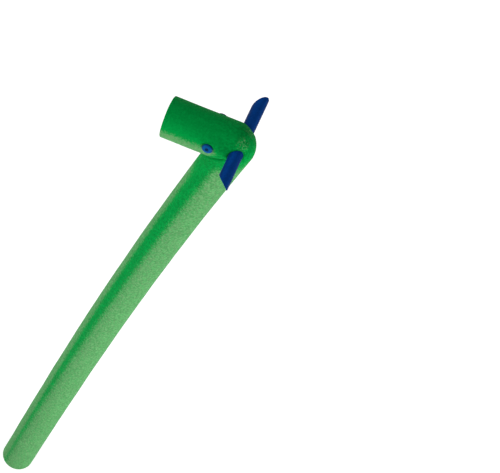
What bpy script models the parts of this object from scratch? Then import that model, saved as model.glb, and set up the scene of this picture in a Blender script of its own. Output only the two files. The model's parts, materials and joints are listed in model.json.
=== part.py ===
"""Foam pool noodle with a folded head, an ear bar and two button eyes.

The noodle stands upright on its flat tail.  The origin is the centre of the tail
face, +Z is up, the snout points to -Y and the left ear to +X.  Metres.
"""
import math

import bmesh
import bpy
from mathutils import Matrix, Vector

# Foam noodle
foam_diameter = 0.070
fold_height = 1.481           # tail face up to the point where head and body axes cross
neck_setback = 0.0314         # how far the bow carries that point behind the tail
head_length = 0.1175          # from that point to the snout face, along the head
fold_angle = math.radians(75.4)      # between the head's axis and the body's
fold_reach_share = 0.871      # of the radius, from that point back to the outside of the fold
end_rounding = 0.0015

# Cross tunnel and the ear bar in it
tunnel_setback_share = 0.314  # of the foam's radius, from the axes' crossing into the fold
ear_diameter = 0.022
ear_span = 0.169              # between the middles of the two slanted ends
ear_slant = math.radians(50.5)
ear_tip_lift = math.radians(41.6)    # the tips point back and up by this
ear_edge = 0.0006
running_gap = 0.0003          # between pieces that touch

# Button eyes, with barbed stems pushed into the foam
eye_diameter = 0.018
eye_height = 0.0038           # from the underside to the top of the dome
eye_edge = 0.0012             # height of the cap's upright edge
eye_dimple_diameter = 0.0048
eye_dimple_depth = 0.0015
eye_from_snout = 0.0805
eye_lift = math.radians(10)   # how far round towards the crown from the head's side
eye_seat_margin = 0.00015     # the dish is this much deeper than the foam curves away under the cap
stem_diameter = 0.0044
stem_length = 0.020
barb_overhang = 0.0009
barb_pitch = 0.0045
barb_count = 3
barb_start = 0.0045           # from the cap's underside to the first barb

# Mesh fineness and cutting
foam_sides = 48
bend_steps = 10
body_steps = 13
rounding_steps = 3
dome_steps = 7
round_sides = 32
smooth_angle = math.radians(35)
cut_overrun = 0.010
weld_distance = 0.00001

foam_radius = foam_diameter / 2
half_fold = fold_angle / 2
fold_reach = foam_radius * fold_reach_share
eye_seat_radius = eye_diameter / 2 + running_gap
eye_seat_depth = foam_radius - math.sqrt(foam_radius ** 2 - eye_seat_radius ** 2) + eye_seat_margin
# Both limbs are plain tubes up to this distance from the crossing of their axes
bend_start = foam_radius / math.tan(half_fold) + foam_radius * (1 - math.sin(half_fold))


class Frame:
    """Directions in the noodle's middle plane, at the crossing of its two axes."""
    neck_lean = math.atan(3 * neck_setback / fold_height)
    centre = Vector((0, neck_setback, fold_height))
    side = Vector((1, 0, 0))
    body = Vector((0, -math.sin(neck_lean), -math.cos(neck_lean)))
    head = Vector((0, -math.sin(neck_lean + fold_angle), -math.cos(neck_lean + fold_angle)))
    throat = side.cross(head)
    bisector = (head + body).normalized()
    across = (head - body).normalized()

    @classmethod
    def point(cls, along_head, to_throat, to_side=0.0):
        return cls.centre + cls.head * along_head + cls.throat * to_throat + cls.side * to_side

    @classmethod
    def mirrored(cls, point):
        """The same point on the body's side of the fold."""
        return point - 2 * cls.across * (point - cls.centre).dot(cls.across)


tunnel_centre = Frame.centre - Frame.bisector * foam_radius * tunnel_setback_share


def principled(name, colour, roughness):
    material = bpy.data.materials.new(name)
    material.use_nodes = True
    shader = material.node_tree.nodes["Principled BSDF"]
    shader.inputs["Base Color"].default_value = (*colour, 1)
    shader.inputs["Roughness"].default_value = roughness
    shader.inputs["Metallic"].default_value = 0
    return material


def new_collection(name):
    collection = bpy.data.collections.new(name)
    bpy.context.scene.collection.children.link(collection)
    return collection


def mesh_object(name, mesh, collection, material=None):
    thing = bpy.data.objects.new(name, mesh)
    collection.objects.link(thing)
    if material:
        mesh.materials.append(material)
    return thing


def bmesh_object(name, shape, collection, material=None):
    bmesh.ops.recalc_face_normals(shape, faces=shape.faces)
    mesh = bpy.data.meshes.new(name)
    shape.to_mesh(mesh)
    shape.free()
    mesh.shade_smooth()
    mesh.set_sharp_from_angle(angle=smooth_angle)
    return mesh_object(name, mesh, collection, material)


def hide_cutter(thing):
    thing.hide_render = True
    thing.display_type = "WIRE"


def cylinder_cutter(name, radius, start, end, collection):
    """A closed cylinder from one point to another."""
    axis = end - start
    shape = bmesh.new()
    bmesh.ops.create_cone(shape, cap_ends=True, segments=round_sides,
                          radius1=radius, radius2=radius, depth=axis.length)
    turn = axis.to_track_quat("Z", "X").to_matrix().to_4x4()
    bmesh.ops.transform(shape, matrix=Matrix.Translation((start + end) / 2) @ turn, verts=shape.verts)
    cutter = bmesh_object(name, shape, collection)
    hide_cutter(cutter)
    return cutter


def cut(thing, cutter):
    boolean = thing.modifiers.new("cut " + cutter.name, "BOOLEAN")
    boolean.operation = "DIFFERENCE"
    boolean.solver = "EXACT"
    boolean.object = cutter


def bend_path(turn):
    """One lengthwise line of the foam round the fold, from the head's straight part to
    the middle of the fold.  turn is its place round the tube, zero at the crown."""
    offset = -foam_radius * math.cos(turn)
    if offset >= 0:
        corner = offset / math.tan(half_fold)
        return [(bend_start + (corner - bend_start) * step / bend_steps, offset)
                for step in range(bend_steps + 1)]
    radius_share = (foam_radius - fold_reach * math.sin(half_fold)) / (1 - math.sin(half_fold))
    arc_radius = radius_share * math.cos(turn)
    arc_centre = arc_radius - fold_reach * math.cos(turn)
    arc_h = arc_centre * math.cos(half_fold)
    arc_u = arc_centre * math.sin(half_fold)
    span = math.pi / 2 - half_fold
    straight = bend_start - arc_h
    whole = straight + arc_radius * span
    path = []
    for step in range(bend_steps + 1):
        along = whole * step / bend_steps
        if along <= straight:
            path.append((bend_start - along, offset))
        else:
            angle = (along - straight) / arc_radius
            path.append((arc_h - arc_radius * math.sin(angle), arc_u - arc_radius * math.cos(angle)))
    return path


def rounded_end():
    """Distance from the end face and radius, from the face's rim to the full tube."""
    for step in range(rounding_steps + 1):
        angle = math.pi / 2 * step / rounding_steps
        yield (end_rounding * (1 - math.cos(angle)),
               foam_radius - end_rounding * (1 - math.sin(angle)))


def body_axis(rise):
    """Centre and direction of the bowed body, rise being 0 at the tail and 1 at the fold."""
    centre = Vector((0, neck_setback * rise ** 3, fold_height * rise))
    slope = Vector((0, 3 * neck_setback * rise ** 2, fold_height)).normalized()
    return centre, slope


def foam_rings():
    """Rings of points from the snout face, round the fold and down to the tail face."""
    turns = [2 * math.pi * (index + 0.5) / foam_sides for index in range(foam_sides)]
    rings = []
    for inset, radius in rounded_end():
        rings.append([Frame.point(head_length - inset, -radius * math.cos(turn), radius * math.sin(turn))
                      for turn in turns])
    paths = [bend_path(turn) for turn in turns]
    half = [[Frame.point(*path[step], foam_radius * math.sin(turn)) for path, turn in zip(paths, turns)]
            for step in range(bend_steps + 1)]
    rings += half
    rings += [[Frame.mirrored(point) for point in ring] for ring in reversed(half[:-1])]
    top = 1 - bend_start / fold_height
    for step in range(1, body_steps):
        rings.append(body_ring(top * (1 - step / body_steps), foam_radius, turns))
    for inset, radius in reversed(list(rounded_end())):
        rings.append(body_ring(inset / fold_height, radius, turns))
    return rings


def body_ring(rise, radius, turns):
    centre, slope = body_axis(rise)
    back = Frame.side.cross(slope) * -1
    return [centre + back * radius * math.cos(turn) + Frame.side * radius * math.sin(turn)
            for turn in turns]


def make_noodle(collection, cutters, material):
    shape = bmesh.new()
    rings = [[shape.verts.new(point) for point in ring] for ring in foam_rings()]
    for above, below in zip(rings, rings[1:]):
        for index in range(foam_sides):
            after = (index + 1) % foam_sides
            shape.faces.new((above[index], above[after], below[after], below[index]))
    shape.faces.new(rings[0])
    shape.faces.new(rings[-1])
    noodle = bmesh_object("foam_noodle", shape, collection, material)
    reach = Frame.side * (foam_radius + cut_overrun)
    cut(noodle, cylinder_cutter("tunnel_cutter", ear_diameter / 2 + running_gap,
                                tunnel_centre - reach, tunnel_centre + reach, cutters))
    for side, name in ((1, "left"), (-1, "right")):
        seat, outward = eye_place(side)
        outside = seat + outward * (eye_seat_depth + cut_overrun)
        cut(noodle, cylinder_cutter(name + "_eye_seat_cutter", eye_seat_radius, seat, outside, cutters))
        cut(noodle, cylinder_cutter(name + "_stem_cutter", stem_diameter / 2 + barb_overhang + running_gap,
                                    seat - outward * stem_length, outside, cutters))
    return noodle


def eye_place(side):
    """Bottom of an eye's seat in the foam, and the way the eye faces."""
    outward = Frame.throat * -math.sin(eye_lift) + Frame.side * side * math.cos(eye_lift)
    seat = Frame.point(head_length - eye_from_snout, 0) + outward * (foam_radius - eye_seat_depth)
    return seat, outward


def make_ear_bar(collection, material):
    shape = bmesh.new()
    bmesh.ops.create_cone(shape, cap_ends=True, segments=round_sides,
                          radius1=ear_diameter / 2, radius2=ear_diameter / 2, depth=ear_span)
    bmesh.ops.rotate(shape, matrix=Matrix.Rotation(math.pi / 2, 3, "Y"), verts=shape.verts)
    tip_way = Vector((0, math.cos(ear_tip_lift), math.sin(ear_tip_lift)))
    for vert in shape.verts:
        slant = vert.co.dot(tip_way) * math.tan(ear_slant)
        vert.co.x += slant if vert.co.x > 0 else -slant
    bar = bmesh_object("ear_bar", shape, collection, material)
    bar.location = tunnel_centre
    bevel = bar.modifiers.new("soft edge", "BEVEL")
    bevel.width = ear_edge
    bevel.segments = 2
    bevel.limit_method = "ANGLE"
    bevel.angle_limit = smooth_angle
    return bar


def eye_profile():
    """Half outline of an eye, from the top of the dome down to the stem's point."""
    outer = eye_diameter / 2
    dimple = eye_dimple_diameter / 2
    stem = stem_diameter / 2
    points = [(0, eye_height - eye_dimple_depth),
              (dimple / 2, eye_height - eye_dimple_depth),
              (dimple, eye_height)]
    for step in range(1, dome_steps + 1):
        angle = math.pi / 2 * step / dome_steps
        points.append((dimple + (outer - dimple) * math.sin(angle),
                       eye_edge + (eye_height - eye_edge) * math.cos(angle)))
    points += [(outer, 0), (stem, 0)]
    for barb in range(barb_count):
        top = -barb_start - barb * barb_pitch
        points += [(stem, top), (stem + barb_overhang, top), (stem, top - barb_pitch / 2)]
    points += [(stem, -stem_length + stem), (0, -stem_length)]
    return points


def make_eye(name, side, collection, material):
    profile = bpy.data.meshes.new(name)
    points = eye_profile()
    profile.from_pydata([(x, 0, z) for x, z in points],
                        [(index, index + 1) for index in range(len(points) - 1)], [])
    eye = mesh_object(name, profile, collection, material)
    screw = eye.modifiers.new("turned", "SCREW")
    screw.axis = "Z"
    screw.steps = round_sides
    screw.render_steps = round_sides
    screw.use_merge_vertices = True
    screw.merge_threshold = weld_distance
    seat, outward = eye_place(side)
    eye.location = seat + outward * running_gap
    eye.rotation_euler = outward.to_track_quat("Z", "X").to_euler()
    return eye


for leftover in list(bpy.data.objects):
    bpy.data.objects.remove(leftover)

noodle_parts = new_collection("pool_noodle")
noodle_cutters = new_collection("cutters")
green_foam = principled("green foam", (0.06, 0.40, 0.11), 0.85)
navy_foam = principled("navy foam", (0.004, 0.035, 0.16), 0.8)
blue_plastic = principled("blue plastic", (0.008, 0.07, 0.26), 0.4)

make_noodle(noodle_parts, noodle_cutters, green_foam)
make_ear_bar(noodle_parts, navy_foam)
make_eye("left_eye", 1, noodle_parts, blue_plastic)
make_eye("right_eye", -1, noodle_parts, blue_plastic)
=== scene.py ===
"""Foam pool noodle with a folded head, an ear bar with slanted ends and two button eyes.

The noodle stands upright on its tail.  The origin is the centre of the tail face,
+Z is up, the snout points to -Y and the left ear to +X.  Everything is in metres.
"""

import json
import math

import bmesh
import bpy
from mathutils import Matrix, Vector, noise


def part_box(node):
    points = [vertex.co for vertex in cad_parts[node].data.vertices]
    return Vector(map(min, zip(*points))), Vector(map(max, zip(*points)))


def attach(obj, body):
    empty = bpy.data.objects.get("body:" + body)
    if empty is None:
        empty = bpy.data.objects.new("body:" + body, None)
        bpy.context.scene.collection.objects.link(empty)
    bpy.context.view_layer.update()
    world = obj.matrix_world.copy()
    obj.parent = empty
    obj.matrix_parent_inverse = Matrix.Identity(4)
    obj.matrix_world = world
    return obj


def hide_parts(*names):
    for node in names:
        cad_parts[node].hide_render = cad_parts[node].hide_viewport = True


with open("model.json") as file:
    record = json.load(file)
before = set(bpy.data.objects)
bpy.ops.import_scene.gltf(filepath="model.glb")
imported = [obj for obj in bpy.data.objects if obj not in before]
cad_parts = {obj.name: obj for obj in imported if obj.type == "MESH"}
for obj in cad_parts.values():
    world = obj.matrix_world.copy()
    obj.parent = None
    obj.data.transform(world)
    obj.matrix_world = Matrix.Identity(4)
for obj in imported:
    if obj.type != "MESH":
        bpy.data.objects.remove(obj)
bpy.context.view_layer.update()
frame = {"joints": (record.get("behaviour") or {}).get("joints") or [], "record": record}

# Foam noodle
foam_radius = 0.035
head_length = 0.1175          # snout face to the crossing of the head's and the body's axes
fold_reach = 0.0305           # from that crossing back to the outside of the fold
end_rounding = 0.0015
foam_sides = 128
fine_step = 0.00125           # between rings on the head and the fold
body_step = 0.009
step_growth = 1.09
cap_rings = 14
rounding_steps = 4
slow_waves = 0.0004           # how far the skin swells and sinks over a hand's width
quick_waves = 0.00012         # and over a finger's width
cut_waves = 0.00035           # unevenness of the sawn ends
slow_scale = 22               # of the slow waves, in repeats per metre
slow_scale_along = 11
quick_scale = 90
quick_scale_along = 40
cut_scale = 60

# Crease under the chin
crease_depth = 0.0026
crease_width = 0.0016
crease_lead = 0.004           # behind the crossing of the axes, where the pinch's ramp starts
crease_ramp = 0.030           # over which the pinch deepens towards the throat
lip_height = 0.0005
lip_distance = 0.0042
lip_width = 0.0022

# Stretch marks on the outside of the fold
stretch_from_snout = 0.110
stretch_turn = math.radians(25)
stretch_reach = 0.013

# Marks of pressure, and painted shade
press_reach = 0.005           # squeezed pale foam beside an eye
shade_ramp = 0.020             # over which the painted shade in the crease deepens towards the throat
shade_reach = 0.003            # of the painted shade round the tunnel

# Painted sheen, the lamps' pale haze painted into the colour.  Its edges are cosines round the foam,
# which are 1 on the crown of the head and the back of the body, and -1 on the throat and the front
sheen_gap = 0.01              # from the middle of the fold down, before the body gets its painted sheen
sheen_ramp = 0.05             # over which it does, along the foam
back_sheen_edge = -0.56
back_sheen_growth = 0.37      # how much further round the painted sheen goes at the tail
back_sheen_blur = 0.66
front_sheen_edge = -0.72
front_sheen_growth = 0.22
front_sheen_blur = 0.31
front_sheen_ramp = 0.08
all_round_sheen = 0.5         # the least at the tail
head_sheen = 1.5
head_sheen_edge = 0.46
head_sheen_blur = 0.75
head_sheen_reach = 0.045      # beyond the head's straight part
head_sheen_ramp = 0.02

# Ear bar and its tunnel
ear_span = 0.169              # between the middles of the two slanted ends
ear_slant = math.radians(50.5)
ear_tip_lift = math.radians(41.6)
ear_edge = 0.0006
ear_waves = 0.00012
tunnel_gap = 0.0003
tunnel_lip = 0.0013           # how far the foam is drawn in round the bar
tunnel_lip_width = 0.0045
ear_sides = 96
ear_rings = 90
ear_cut_rings = 7
ear_edge_segments = 3
ear_wave_scale = 60
ear_wave_scale_along = 30
ear_cut_scale = 150
ear_end_cosine = 0.99         # faces at least this square to the bar's axis are sawn

# Button eyes in their dished seats
eye_radius = 0.009
eye_height = 0.0038
eye_rim = 0.0012
eye_rounding = 0.0003
eye_dimple_radius = 0.0024
eye_dimple_depth = 0.0015
eye_dimple_lip_share = 1.36   # of the dimple's radius, where its mouth meets the dome
eye_dimple_shares = [(0, 1), (0.5, 1), (0.78, 0.93), (0.93, 0.75), (1.02, 0.5), (1.12, 0.25),
                     (1.24, 0.07)]    # its outline, in shares of its radius and its depth
eye_from_snout = 0.0805
eye_lift = math.radians(10)
eye_gap = 0.0003
eye_seat_margin = 0.00015     # the dish is this much deeper than the foam curves away under the cap
seat_wall = 0.0002            # from the cap's rim out to where the foam starts to rise
seat_slope = 0.0036           # width of the soft slope round the cap
stem_radius = 0.0022
stem_length = 0.020
stem_hole_radius = 0.0034
barb_overhang = 0.0009
barb_pitch = 0.0045
barb_count = 3
barb_start = 0.0045
eye_sides = 64
dome_steps = 12

# Mesh fineness
fine_cuts = 2
fine_round_eye = 0.015
fine_round_ear = 0.018
weld_distance = 0.000001
sharp_angle = math.radians(38)

# Colours, as linear red, green and blue
deep_green = (0.0, 0.318, 0.053)
bright_green = (0.001, 0.377, 0.066)
# painted sheen: the lamps' pale haze painted into the colour
painted_sheen_green = (0.255, 0.45, 0.22)
pale_green = (0.22, 0.56, 0.24)
# painted shade for the crease and the tunnel's edge
painted_shade_green = (0.0, 0.12, 0.02)
deep_cut_green = (0.010, 0.23, 0.04)
bright_cut_green = (0.05, 0.38, 0.10)
deep_navy = (0.0004, 0.05, 0.27)
bright_navy = (0.0015, 0.07, 0.37)
# painted shade for the ear bar's sides and underside
shaded_navy = (0.0, 0.014, 0.06)
deep_cut_navy = (0.0008, 0.04, 0.2)
bright_cut_navy = (0.005, 0.09, 0.4)
deep_blue = (0.0, 0.085, 0.28)
bright_blue = (0.001, 0.115, 0.36)
# painted shade for the eye's pit and the edge of its cap
painted_shade_blue = (0.0, 0.012, 0.06)
floor_grey = (0.45, 0.45, 0.45)

# Height of the relief in the shaders
green_skin_relief = 0.0018
green_cut_relief = 0.0006
navy_skin_relief = 0.0003
navy_cut_relief = 0.0005
plastic_relief = 0.00002

# Strength of the marks in the shaders
crinkle_strength = 0.75
press_strength = 0.6
# strength of the painted shade in the crease and round the tunnel
shade_strength = 0.6
grain_strength = 0.32
navy_shade_strength = 0.6
# strength of the painted shade on the eyes
plastic_shade_strength = 0.8

# Scales of the patterns, in repeats per metre
cell_scale = 820
fleck_scale = 330
cloud_scale = 46
line_scale = 420
speck_scale = 300
crinkle_scale = 420
grain_scale = 260
green_cut_cell_scale = 620
green_cut_cloud_scale = 60
saw_scale = 300
navy_cut_cell_scale = 700
navy_cut_cloud_scale = 80
haze_scale = 300
plastic_grain_scale = 2600
line_stretch = 0.04           # how much slower the lines change along the foam than across
saw_stretch = 0.06

# Photograph's camera
image_width = 500
focal_pixels = 1757
sensor_width = 0.036
clip_near = 0.1
clip_far = 60
camera_place = Vector((1.6189, -0.1435, 3.7428))
camera_right = Vector((-0.34461, 0.88088, 0.32450))
camera_forward = Vector((-0.54391, 0.09438, -0.83382))

# Stage
world_light = 0.3
floor_glow = 0.82             # lifts the floor to white where no shadow falls
floor_reach = 12


def mount(name):
    """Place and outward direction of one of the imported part's faces."""
    found = next(entry for entry in frame["record"]["mounts"] if entry["name"] == name)
    return Vector(found["pos_m"]), Vector(found["axis"]).normalized()


side = Vector((1, 0, 0))
snout, head_way = mount("snout_face")
fold = snout - head_way * head_length
neck_lean = math.atan(3 * fold.y / fold.z)
body_way = Vector((0, -math.sin(neck_lean), -math.cos(neck_lean)))
throat = side.cross(head_way)
bisector = (head_way + body_way).normalized()
across = (head_way - body_way).normalized()
half_fold = head_way.angle(body_way) / 2
bend_start = foam_radius / math.tan(half_fold) + foam_radius * (1 - math.sin(half_fold))

eye_seat_depth = foam_radius + eye_seat_margin - math.sqrt(foam_radius ** 2 - (eye_radius + eye_gap) ** 2)

tunnel = Vector(frame["joints"][0]["pos_m"])
ear_low, ear_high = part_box("ear_bar")
ear_radius = (ear_high.z - ear_low.z) / 2
tunnel_radius = ear_radius + tunnel_gap


def ease(share):
    """0 up to a share of 0, 1 from a share of 1, and smooth between."""
    share = min(max(share, 0), 1)
    return share * share * (3 - 2 * share)


# Where the foam's skin runs

def head_point(along_head, to_throat, to_side):
    return fold + head_way * along_head + throat * to_throat + side * to_side


def mirrored(point):
    """The same point on the body's side of the fold."""
    return point - 2 * across * (point - fold).dot(across)


def bend_point(turn, share):
    """A point of the fold's skin on the head's half: share is 0 where the plain tube ends
    and 1 in the middle of the fold, and turn goes round the tube from the crown."""
    offset = -foam_radius * math.cos(turn)
    to_side = foam_radius * math.sin(turn)
    if offset >= 0:
        corner = offset / math.tan(half_fold)
        return head_point(bend_start + (corner - bend_start) * share, offset, to_side)
    tightness = (foam_radius - fold_reach * math.sin(half_fold)) / (1 - math.sin(half_fold))
    arc_radius = tightness * math.cos(turn)
    arc_centre = arc_radius - fold_reach * math.cos(turn)
    arc_along = arc_centre * math.cos(half_fold)
    straight = bend_start - arc_along
    travelled = (straight + arc_radius * (math.pi / 2 - half_fold)) * share
    if travelled <= straight:
        return head_point(bend_start - travelled, offset, to_side)
    angle = (travelled - straight) / arc_radius
    return head_point(arc_along - arc_radius * math.sin(angle),
                      arc_centre * math.sin(half_fold) - arc_radius * math.cos(angle), to_side)


noodle_length = head_length + fold.z
bend_from = head_length - bend_start
bend_to = head_length + bend_start


def skin_point(turn, along, radius):
    """A point of the foam's surface, along being its distance from the snout on the axis."""
    if along <= bend_from:
        return head_point(head_length - along, -radius * math.cos(turn), radius * math.sin(turn))
    if along <= head_length:
        return bend_point(turn, (along - bend_from) / bend_start)
    if along <= bend_to:
        return mirrored(bend_point(turn, (bend_to - along) / bend_start))
    rise = (noodle_length - along) / fold.z
    centre = Vector((0, fold.y * rise ** 3, fold.z * rise))
    slope = Vector((0, 3 * fold.y * rise ** 2, fold.z)).normalized()
    back = slope.cross(side)
    return centre + back * radius * math.cos(turn) + side * radius * math.sin(turn)


def stations():
    """Distance from the snout and radius of every ring, the two flat ends included."""
    flat_radius = foam_radius - end_rounding
    flat = [(0, flat_radius * ring / cap_rings) for ring in range(cap_rings)]
    rim = []
    for step in range(rounding_steps + 1):
        angle = math.pi / 2 * step / rounding_steps
        rim.append((end_rounding * (1 - math.cos(angle)), flat_radius + end_rounding * math.sin(angle)))
    end = flat + rim
    fine_count = round((bend_to - end_rounding) / fine_step)
    middle = [end_rounding + (bend_to - end_rounding) * (ring + 1) / fine_count
              for ring in range(fine_count)]
    step = fine_step
    while middle[-1] + step < noodle_length - end_rounding - body_step:
        middle.append(middle[-1] + step)
        step = min(step * step_growth, body_step)
    return end + [(along, foam_radius) for along in middle] + [
        (noodle_length - along, radius) for along, radius in reversed(end)]


def fold_point(way):
    """The middle of the foam's stretch marks, beside the crown of the fold."""
    return skin_point(way * stretch_turn, stretch_from_snout, foam_radius)


def station_at(rows, place):
    """Distance and radius between two rings, place counting rings from the snout's middle."""
    before = min(int(place), len(rows) - 2)
    share = place - before
    return [low + (high - low) * share for low, high in zip(rows[before], rows[before + 1])]


# Eyes

def eye_seat(way):
    """Middle of an eye's seat in the foam, and the direction that the eye faces."""
    outward = throat * -math.sin(eye_lift) + side * way * math.cos(eye_lift)
    centre = fold + head_way * (head_length - eye_from_snout)
    return centre + outward * (foam_radius - eye_seat_depth), outward


def from_line(point, start, way):
    """Distance of a point from a line."""
    rest = point - start
    return (rest - way * rest.dot(way)).length


# Relief of the foam's skin

def waves(straight):
    """Slow and quick swells, at a place on the foam before it was folded."""
    x, y, along = straight
    slow = noise.noise(Vector((x * slow_scale, y * slow_scale, along * slow_scale_along)))
    quick = noise.noise(Vector((x * quick_scale, y * quick_scale, along * quick_scale_along + 7)))
    return slow_waves * slow + quick_waves * quick


def crease(point):
    """The pinch where the underside of the head meets the body, and its two swollen lips."""
    inward = (point - fold).dot(bisector)
    if inward <= 0:
        return 0
    apart = abs((point - fold).dot(across))
    depth = crease_depth * ease((inward + crease_lead) / crease_ramp)
    groove = depth * math.exp(-(apart / crease_width) ** 2)
    lip = lip_height * ease(inward / crease_ramp) * math.exp(-((apart - lip_distance) / lip_width) ** 2)
    return lip - groove


def tunnel_pull(point):
    """The foam is drawn in a little where the bar goes through it."""
    spread = (from_line(point, tunnel, side) - tunnel_radius) / tunnel_lip_width
    if abs(point.x) < foam_radius / 2 or spread >= 1:
        return 0
    return -tunnel_lip * (1 - max(spread, 0)) ** 2


def press_seat(vert, way):
    """Press the dish of an eye into the foam: flat under the cap, with a soft slope round it."""
    seat, outward = eye_seat(way)
    height = (vert.co - seat).dot(outward)
    spread = from_line(vert.co, seat, outward) - eye_radius - seat_wall
    if height < -eye_seat_depth or spread > seat_slope:
        return
    vert.co -= outward * height * (1 - ease(spread / seat_slope))


def press_mark(point):
    """1 on the throat side of an eye, where the foam is squeezed pale, and 0 away from it."""
    marks = [0]
    for way in (1, -1):
        seat, outward = eye_seat(way)
        spread = 1 - (from_line(point, seat, outward) - eye_radius) / press_reach
        if (point - seat).dot(outward) > -2 * eye_seat_depth:
            marks.append(spread * ease(0.5 + (point - seat).dot(throat) / eye_radius))
    return ease(max(marks))


def painted_shade_mark(point):
    """1 in the crease and at the edge of the tunnel, where shade is painted on the foam."""
    apart = abs((point - fold).dot(across))
    inward = (point - fold).dot(bisector)
    mark = ease((inward + crease_lead) / shade_ramp) * math.exp(-(apart / crease_width) ** 2)
    if abs(point.x) > foam_radius / 2:
        mark = max(mark, ease(1 - (from_line(point, tunnel, side) - tunnel_radius) / shade_reach))
    return mark


def stretch_mark(point):
    """1 on both sides of the fold's crown, where the foam is stretched most over the bar."""
    nearest = min((point - fold_point(way)).length for way in (1, -1))
    return ease(1.2 - nearest / stretch_reach)


def painted_sheen_mark(turn, along):
    """1 or more where a sheen is painted into the skin's colour, pale where the lamps would leave
    a haze: low down on the head's left side, and on the body's back, sides and front, with bare
    bands between, left darker as painted shade, that fade towards the tail."""
    to_tail = max(along - head_length, 0) / fold.z
    cosine = math.cos(turn)
    back = ease((cosine - back_sheen_edge + back_sheen_growth * to_tail) / back_sheen_blur)
    front = ease((front_sheen_edge + front_sheen_growth * to_tail - cosine) / front_sheen_blur)
    front *= ease((along - bend_to) / front_sheen_ramp)
    all_round = all_round_sheen * to_tail ** 1.5
    body = ease((along - head_length - sheen_gap) / sheen_ramp) * max(back, front, all_round)
    below = ease((head_sheen_edge - cosine) / head_sheen_blur) * ease(1 + math.sin(turn))
    head = head_sheen * ease((bend_from + head_sheen_reach - along) / head_sheen_ramp) * below
    return body + head


# Mesh steps

def open_hole(shape, start, way, radius, deepest):
    """Take out the faces round a line, from deepest outwards, and draw the hole's edge on to
    a circle.  Returns the edge loop."""
    inside = [face for face in shape.faces
              if (face.calc_center_median() - start).dot(way) > deepest
              and from_line(face.calc_center_median(), start, way) < radius]
    around = {edge for face in inside for edge in face.edges}
    loop = [edge for edge in around if not all(face in inside for face in edge.link_faces)]
    bmesh.ops.delete(shape, geom=inside, context="FACES")
    for vert in {vert for edge in loop for vert in edge.verts}:
        rest = vert.co - start
        height = way * rest.dot(way)
        vert.co = start + height + (rest - height).normalized() * radius
    return loop


def sink(shape, loop, move):
    """Pull a hole's edge loop inwards and close it with a flat bottom."""
    pulled = bmesh.ops.extrude_edge_only(shape, edges=loop)["geom"]
    verts = [item for item in pulled if isinstance(item, bmesh.types.BMVert)]
    edges = [item for item in pulled if isinstance(item, bmesh.types.BMEdge)]
    bmesh.ops.translate(shape, verts=verts, vec=move)
    bottom = [edge for edge in edges if all(vert in verts for vert in edge.verts)]
    bmesh.ops.holes_fill(shape, edges=bottom, sides=0)


def finished(name, shape, materials):
    """The shape as an object of the scene, smooth but for its sharp edges."""
    bmesh.ops.recalc_face_normals(shape, faces=shape.faces)
    mesh = bpy.data.meshes.new(name)
    shape.to_mesh(mesh)
    shape.free()
    mesh.shade_smooth()
    mesh.set_sharp_from_angle(angle=sharp_angle)
    for material in materials:
        mesh.materials.append(material)
    piece = bpy.data.objects.new(name, mesh)
    bpy.context.scene.collection.objects.link(piece)
    return piece


def make_noodle(skin, cut):
    rows = stations()
    shape = bmesh.new()
    straight = shape.verts.layers.float_vector.new("straight")
    pressed = shape.verts.layers.float.new("pressed")
    stretched = shape.verts.layers.float.new("stretched")
    painted_shade = shape.verts.layers.float.new("painted_shade")
    painted_sheen = shape.verts.layers.float.new("painted_sheen")
    grainy = shape.verts.layers.float.new("grainy")
    bmesh.ops.create_grid(shape, x_segments=len(rows) - 1, y_segments=foam_sides, size=0.5)

    def on_foam(point):
        """Turn, distance from the snout and radius of a point of the flat grid."""
        turn = 2 * math.pi * (point.y + 0.5) + math.pi
        along, radius = station_at(rows, (point.x + 0.5) * (len(rows) - 1))
        return turn, along, radius

    places = [(eye_seat(way)[0], fine_round_eye) for way in (1, -1)]
    places += [(tunnel + side * foam_radius * way, fine_round_ear) for way in (1, -1)]
    fine = [face for face in shape.faces
            if min((skin_point(*on_foam(face.calc_center_median())) - place).length - reach
                   for place, reach in places) < 0]
    bmesh.ops.subdivide_edges(shape, edges=list({edge for face in fine for edge in face.edges}),
                              cuts=fine_cuts, use_grid_fill=True)

    for vert in shape.verts:
        turn, along, radius = on_foam(vert.co)
        vert.co = skin_point(turn, along, radius)
        vert[straight] = (radius * math.cos(turn), radius * math.sin(turn), along)
        # where a sheen is painted on the skin, as the lamps' haze
        vert[painted_sheen] = painted_sheen_mark(turn, along)
        vert[grainy] = ease((along - bend_from) / bend_start)
    bmesh.ops.remove_doubles(shape, verts=shape.verts, dist=weld_distance)
    bmesh.ops.recalc_face_normals(shape, faces=shape.faces)
    shape.normal_update()

    moves = {}
    for vert in shape.verts:
        place = vert[straight]
        flat = min(place.z, noodle_length - place.z) < end_rounding / 2
        swell = cut_waves * noise.noise(place * cut_scale) if flat else waves(place)
        moves[vert] = vert.normal * (swell + crease(vert.co) + tunnel_pull(vert.co))
    for vert, move in moves.items():
        vert.co += move
    for vert in shape.verts:
        press_seat(vert, 1)
        press_seat(vert, -1)
        vert[pressed] = press_mark(vert.co)
        vert[stretched] = stretch_mark(vert.co)
        # painted shade in the crease and round the tunnel
        vert[painted_shade] = painted_shade_mark(vert.co)

    for face in shape.faces:
        ends = [min(vert[straight].z, noodle_length - vert[straight].z) for vert in face.verts]
        face.material_index = 1 if max(ends) < end_rounding / 2 else 0
    rims = [open_hole(shape, tunnel, side * way, tunnel_radius, foam_radius / 2) for way in (1, -1)]
    bmesh.ops.bridge_loops(shape, edges=rims[0] + rims[1])
    for way in (1, -1):
        seat, outward = eye_seat(way)
        rim = open_hole(shape, seat, outward, stem_hole_radius, -eye_seat_depth)
        sink(shape, rim, outward * -stem_length)

    noodle = finished("noodle_foam", shape, [skin, cut])
    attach(noodle, "noodle")
    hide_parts("foam_noodle")


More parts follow.
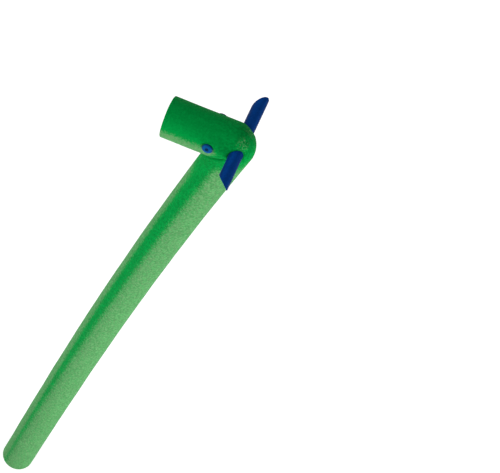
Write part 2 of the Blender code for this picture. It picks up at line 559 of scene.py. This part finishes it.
def make_ears(skin, cut):
    shape = bmesh.new()
    bmesh.ops.create_cone(shape, cap_ends=True, segments=ear_sides, radius1=ear_radius,
                          radius2=ear_radius, depth=ear_span)
    ends = [face for face in shape.faces if len(face.verts) == ear_sides]
    rims = [edge for face in ends for edge in face.edges]
    bmesh.ops.bevel(shape, geom=rims, affect="EDGES", offset=ear_edge, segments=ear_edge_segments,
                    profile=0.5, material=-1)
    ends = [face for face in shape.faces if len(face.verts) == ear_sides]
    for ring in range(ear_cut_rings):
        bmesh.ops.inset_individual(shape, faces=ends, thickness=ear_radius / (ear_cut_rings + 1))
    bmesh.ops.poke(shape, faces=ends)
    for face in shape.faces:
        face.material_index = 1 if abs(face.normal.z) > ear_end_cosine else 0
    lengthwise = [edge for edge in shape.edges if edge.calc_length() > ear_span / 2]
    bmesh.ops.subdivide_edges(shape, edges=lengthwise, cuts=ear_rings)
    bmesh.ops.rotate(shape, matrix=Matrix.Rotation(math.pi / 2, 3, "Y"), verts=shape.verts)

    tip_way = Vector((0, math.cos(ear_tip_lift), math.sin(ear_tip_lift)))
    painted_lit_top = shape.verts.layers.float.new("painted_lit_top")
    for vert in shape.verts:
        out = Vector((0, vert.co.y, vert.co.z))
        # 1 on top, down to 0 on the sides and below, where shade is painted
        vert[painted_lit_top] = ease(2 * out.z / ear_radius - 1)
        share = 2 * vert.co.x / ear_span
        swell = noise.noise(Vector((vert.co.x * ear_wave_scale_along, vert.co.y * ear_wave_scale,
                                    vert.co.z * ear_wave_scale)))
        if abs(share) < 1:
            vert.co += out.normalized() * ear_waves * (swell - 0.5)
        else:
            inside = ease(2 - 2 * out.length / ear_radius)
            vert.co.x += cut_waves * noise.noise(vert.co * ear_cut_scale) * share * inside
        vert.co.x += out.dot(tip_way) * math.tan(ear_slant) * share
        vert.co += tunnel
    ears = finished("ear_foam", shape, [skin, cut])
    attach(ears, "ears")
    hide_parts("ear_bar")


def eye_outline():
    """Half outline of an eye, from the pit in its dome down to the point of its stem."""
    points = [(eye_dimple_radius * out, eye_height - eye_dimple_depth * deep)
              for out, deep in eye_dimple_shares]
    lip = eye_dimple_radius * eye_dimple_lip_share
    for step in range(dome_steps + 1):
        angle = math.pi / 2 * step / dome_steps
        points.append((lip + (eye_radius - lip) * math.sin(angle),
                       eye_rim + (eye_height - eye_rim) * math.cos(angle)))
    for step in range(1, rounding_steps + 1):
        angle = math.pi / 2 * step / rounding_steps
        points.append((eye_radius - eye_rounding * (1 - math.cos(angle)),
                       eye_rounding * (1 - math.sin(angle))))
    points.append((stem_radius, 0))
    for barb in range(barb_count):
        top = -barb_start - barb * barb_pitch
        points += [(stem_radius, top), (stem_radius + barb_overhang, top),
                   (stem_radius, top - barb_pitch / 2)]
    return points + [(stem_radius, stem_radius - stem_length), (0, -stem_length)]


def make_eye(name, way, plastic):
    shape = bmesh.new()
    verts = [shape.verts.new((out, 0, up)) for out, up in eye_outline()]
    edges = [shape.edges.new(pair) for pair in zip(verts, verts[1:])]
    bmesh.ops.spin(shape, geom=verts + edges, cent=(0, 0, 0), axis=(0, 0, 1), angle=2 * math.pi,
                   steps=eye_sides, use_merge=True)
    bmesh.ops.remove_doubles(shape, verts=shape.verts, dist=weld_distance)
    painted_shade = shape.verts.layers.float.new("painted_shade")
    for vert in shape.verts:
        # painted shade in the pit and round the edge of the cap
        out = math.hypot(vert.co.x, vert.co.y)
        in_pit = ease(1.9 - out / eye_dimple_radius)
        round_edge = 0.8 * ease(4 * out / eye_radius - 3)
        vert[painted_shade] = max(in_pit, round_edge) if vert.co.z > 0 else 0
    seat, outward = eye_seat(way)
    turned = outward.to_track_quat("Z", "X").to_matrix().to_4x4()
    placed = Matrix.Translation(seat + outward * eye_gap) @ turned
    bmesh.ops.transform(shape, matrix=placed, verts=shape.verts)
    eye = finished(name + "_button", shape, [plastic])
    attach(eye, "noodle")
    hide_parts(name)


# Materials

class Wire:
    """What a shader node puts out.  Arithmetic on it adds Math nodes."""

    def __init__(self, sheet, socket):
        self.sheet = sheet
        self.socket = socket

    def maths(self, operation, *values):
        return self.sheet.node("Math", {"operation": operation}, dict(enumerate(values)))

    def __add__(self, other):
        return self.maths("ADD", self, other)

    def __sub__(self, other):
        return self.maths("SUBTRACT", self, other)

    def __rsub__(self, other):
        return self.maths("SUBTRACT", other, self)

    def __mul__(self, other):
        return self.maths("MULTIPLY", self, other)

    __radd__ = __add__

    def between(self, low, high):
        """0 up to low, 1 from high, and smooth between."""
        return self.sheet.node("MapRange", {"interpolation_type": "SMOOTHSTEP"},
                               {"Value": self, "From Min": low, "From Max": high})


class Sheet:
    """The nodes of a material or of the world."""

    def __init__(self, owner):
        owner.use_nodes = True
        self.tree = owner.node_tree

    def set(self, node, sockets):
        for key, value in sockets.items():
            socket = node.inputs[key]
            if isinstance(value, Wire):
                self.tree.links.new(value.socket, socket)
            else:
                socket.default_value = value

    def node(self, kind, settings, sockets, outlet=0):
        made = self.tree.nodes.new("ShaderNode" + kind)
        for key, value in settings.items():
            setattr(made, key, value)
        self.set(made, sockets)
        return Wire(self, made.outputs[outlet])

    def seen(self):
        """1 for the camera, in mirrors and through glass, and 0 for the light on the object."""
        camera, mirror, glass = [self.node("LightPath", {}, {}, ray) for ray in
                                 ("Is Camera Ray", "Is Glossy Ray", "Is Transmission Ray")]
        return (camera + mirror + glass).between(0, 1)


class Finish(Sheet):
    """A material with one Principled shader, and the nodes that vary it."""

    def __init__(self, name, roughness, **fixed):
        self.material = bpy.data.materials.new(name)
        super().__init__(self.material)
        self.shader = self.tree.nodes["Principled BSDF"]
        self.set(self.shader, {"Roughness": roughness, "Metallic": 0})
        self.set(self.shader, {word.replace("_", " "): value for word, value in fixed.items()})

    def mix(self, share, first, second):
        """Between two colours."""
        first, second = [(*value, 1) if isinstance(value, tuple) else value for value in (first, second)]
        return self.node("Mix", {"data_type": "RGBA"}, {0: share, 6: first, 7: second}, 2)

    def shaded(self, colour, share):
        """A colour made darker or brighter."""
        return self.node("VectorMath", {"operation": "SCALE"}, {0: colour, "Scale": share})

    def noise(self, place, scale, detail=2, roughness=0.5):
        return self.node("TexNoise", {}, {"Vector": place, "Scale": scale, "Detail": detail,
                                          "Roughness": roughness})

    def cells(self, place, scale):
        return self.node("TexVoronoi", {}, {"Vector": place, "Scale": scale})

    def stretched(self, place, scale):
        """Coordinates scaled unevenly, for marks that run one way."""
        return self.node("Mapping", {}, {"Vector": place, "Scale": scale})

    def skin_place(self, name):
        """A named attribute's vector, which follows the surface."""
        return self.node("Attribute", {"attribute_name": name}, {}, 1)

    def mark(self, name):
        """A named attribute's number."""
        return self.node("Attribute", {"attribute_name": name}, {}, 2)

    def object_place(self):
        return self.node("TexCoord", {}, {}, 3)

    def finish_with(self, colour, height, distance, roughness=None):
        bump = self.node("Bump", {}, {"Height": height, "Distance": distance, "Strength": 1})
        self.set(self.shader, {"Base Color": colour, "Normal": bump})
        if roughness is not None:
            self.set(self.shader, {"Roughness": roughness})
        return self.material


def foam_pattern(finish, place, along):
    """Closed cells under the skin, and faint lines from the nozzle along the foam."""
    cells = finish.cells(place, cell_scale)
    flecks = finish.noise(place, fleck_scale, detail=3, roughness=0.6)
    clouds = finish.noise(place, cloud_scale, detail=3, roughness=0.6)
    lines = finish.noise(finish.stretched(place, along), line_scale)
    return cells, flecks, clouds, lines


def green_skin():
    """Smooth on the head and grainy on the body, with a painted sheen, painted shade in the crease and
    round the tunnel, and the marks of use.
    """
    finish = Finish("green foam skin", 0.5, Specular_IOR_Level=0.005,
                    Sheen_Weight=0.04, Sheen_Roughness=0.3)
    place = finish.skin_place("straight")
    cells, flecks, clouds, lines = foam_pattern(finish, place, (1, 1, line_stretch))
    shade = flecks * 0.65 + clouds * 0.12 + lines * 0.23
    colour = finish.mix(shade.between(0.38, 0.62), deep_green, bright_green)
    specks = finish.noise(place, speck_scale, detail=4, roughness=0.7).between(0.42, 0.62)
    # painted sheen: pale where the lamps would leave a haze, broken into specks
    sheen_share = (finish.mark("painted_sheen") * 1.2 + specks * 0.4).between(0.4, 1.4) * (0.4 + specks * 0.22)
    colour = finish.mix(sheen_share, colour, painted_sheen_green)
    crinkles = finish.noise(place, crinkle_scale, detail=4, roughness=0.7).between(0.48, 0.64)
    pale = crinkles * finish.mark("stretched") * crinkle_strength
    colour = finish.mix(pale + finish.mark("pressed") * press_strength, colour, pale_green)
    # painted shade in the crease and round the tunnel
    colour = finish.mix(finish.mark("painted_shade") * shade_strength, colour, painted_shade_green)
    grain = finish.noise(place, grain_scale, detail=1).between(0.35, 0.65) - 0.5
    colour = finish.shaded(colour, grain * finish.mark("grainy") * grain_strength + 1)
    height = (1 - cells) * 0.3 + flecks * 0.5 + lines * 0.2
    return finish.finish_with(colour, height, green_skin_relief, 0.46 + flecks * 0.12)


def green_cut():
    """The sawn ends, with opened cells and the saw's scratches."""
    finish = Finish("green foam cut", 0.85, Specular_IOR_Level=0.4)
    place = finish.skin_place("straight")
    cells = finish.cells(place, green_cut_cell_scale)
    saw = finish.noise(finish.stretched(place, (1, saw_stretch, 1)), saw_scale)
    clouds = finish.noise(place, green_cut_cloud_scale, detail=3)
    shade = (1 - cells) * 0.5 + clouds * 0.5
    colour = finish.mix(shade.between(0.35, 0.8), deep_cut_green, bright_cut_green)
    return finish.finish_with(colour, cells * -1 + saw * 0.4, green_cut_relief)


def navy_skin():
    """Painted shade: darker on the sides and below than on top."""
    finish = Finish("navy foam skin", 0.5, Specular_IOR_Level=0.03,
                    Sheen_Weight=0.03, Sheen_Roughness=0.3)
    place = finish.object_place()
    cells, flecks, clouds, lines = foam_pattern(finish, place, (line_stretch, 1, 1))
    shade = flecks * 0.5 + clouds * 0.35 + lines * 0.15
    colour = finish.mix(shade.between(0.36, 0.64), deep_navy, bright_navy)
    # painted shade on the sides and underside
    colour = finish.mix((1 - finish.mark("painted_lit_top")) * navy_shade_strength, colour, shaded_navy)
    height = (1 - cells) * 0.4 + flecks * 0.5 + lines * 0.3
    return finish.finish_with(colour, height, navy_skin_relief, 0.46 + flecks * 0.12)


def navy_cut():
    finish = Finish("navy foam cut", 0.85, Specular_IOR_Level=0.4)
    place = finish.object_place()
    cells = finish.cells(place, navy_cut_cell_scale)
    clouds = finish.noise(place, navy_cut_cloud_scale, detail=3)
    shade = (1 - cells) * 0.5 + clouds * 0.5
    colour = finish.mix(shade.between(0.35, 0.8), deep_cut_navy, bright_cut_navy)
    return finish.finish_with(colour, cells * -1, navy_cut_relief)


def blue_plastic():
    """Slightly hazy, with painted shade in the pit and round the edge."""
    finish = Finish("blue plastic", 0.4, Specular_IOR_Level=0.05)
    place = finish.object_place()
    haze = finish.noise(place, haze_scale, detail=3, roughness=0.6)
    grain = finish.noise(place, plastic_grain_scale)
    colour = finish.mix(haze.between(0.35, 0.7), deep_blue, bright_blue)
    # painted shade in the pit and round the edge
    colour = finish.mix(finish.mark("painted_shade") * plastic_shade_strength, colour, painted_shade_blue)
    return finish.finish_with(colour, grain, plastic_relief, 0.34 + haze * 0.16)


# Floor, light and camera

def make_floor():
    """A pale floor that looks white where it is seen and no shadow falls."""
    finish = Finish("pale floor", 0.9, Specular_IOR_Level=0)
    finish.set(finish.shader, {"Base Color": (*floor_grey, 1)})
    lit = Wire(finish, finish.shader.outputs[0])
    glow = finish.node("Emission", {}, {"Strength": finish.seen() * floor_glow})
    both = finish.node("AddShader", {}, {0: lit, 1: glow})
    finish.set(finish.tree.nodes["Material Output"], {"Surface": both})
    shape = bmesh.new()
    bmesh.ops.create_grid(shape, x_segments=1, y_segments=1, size=floor_reach)
    floor = finished("floor", shape, [finish.material])


def make_world():
    """White where it is seen, and a weak even light on the object."""
    world = bpy.data.worlds.new("studio")
    sheet = Sheet(world)
    bpy.context.scene.world = world
    strength = world_light + sheet.seen() * (1 - world_light)
    sheet.set(sheet.tree.nodes["Background"], {"Color": (1, 1, 1, 1), "Strength": strength})


def soft_box(name, place, aim, size, brightness):
    """A rectangular lamp of an even brightness, 1 being as bright as a white wall."""
    width, height = size
    lamp = bpy.data.lights.new(name, "AREA")
    lamp.shape = "RECTANGLE"
    lamp.size = width
    lamp.size_y = height
    lamp.energy = brightness * math.pi * width * height
    holder = bpy.data.objects.new(name, lamp)
    holder.location = place
    holder.rotation_euler = (Vector(aim) - Vector(place)).to_track_quat("-Z", "Y").to_euler()
    holder.visible_camera = False
    bpy.context.scene.collection.objects.link(holder)


def make_lights():
    make_world()
    soft_box("key soft box", place=(1.6, 2.5, 0.75), aim=(0, 0, 0.9), size=(2.4, 1.4), brightness=8.2)
    soft_box("fill soft box", place=(1.7, -2.5, 1.9), aim=(0, 0, 0.9), size=(2.4, 2.4), brightness=3.2)
    soft_box("back soft box", place=(-2.4, -0.4, 0.8), aim=(0, 0, 0.7), size=(2.0, 1.4), brightness=1.0)
    soft_box("side soft box", place=(-0.5, -1.8, 0.3), aim=(0, 0, 0.4), size=(1.6, 1.0), brightness=1.6)


def make_camera():
    lens = bpy.data.cameras.new("photo camera")
    lens.sensor_fit = "HORIZONTAL"
    lens.sensor_width = sensor_width * 1000
    lens.lens = sensor_width * 1000 * focal_pixels / image_width
    lens.clip_start = clip_near
    lens.clip_end = clip_far
    camera = bpy.data.objects.new("photo camera", lens)
    forward = camera_forward.normalized()
    right = (camera_right - forward * camera_right.dot(forward)).normalized()
    up = right.cross(forward)
    turned = Matrix((right, up, -forward)).transposed().to_4x4()
    camera.matrix_world = Matrix.Translation(camera_place) @ turned
    bpy.context.scene.collection.objects.link(camera)
    bpy.context.scene.camera = camera


make_noodle(green_skin(), green_cut())
make_ears(navy_skin(), navy_cut())
plastic = blue_plastic()
make_eye("left_eye", 1, plastic)
make_eye("right_eye", -1, plastic)
make_floor()
make_lights()
make_camera()
bpy.context.scene.view_settings.view_transform = "Standard"

bpy.context.view_layer.update()
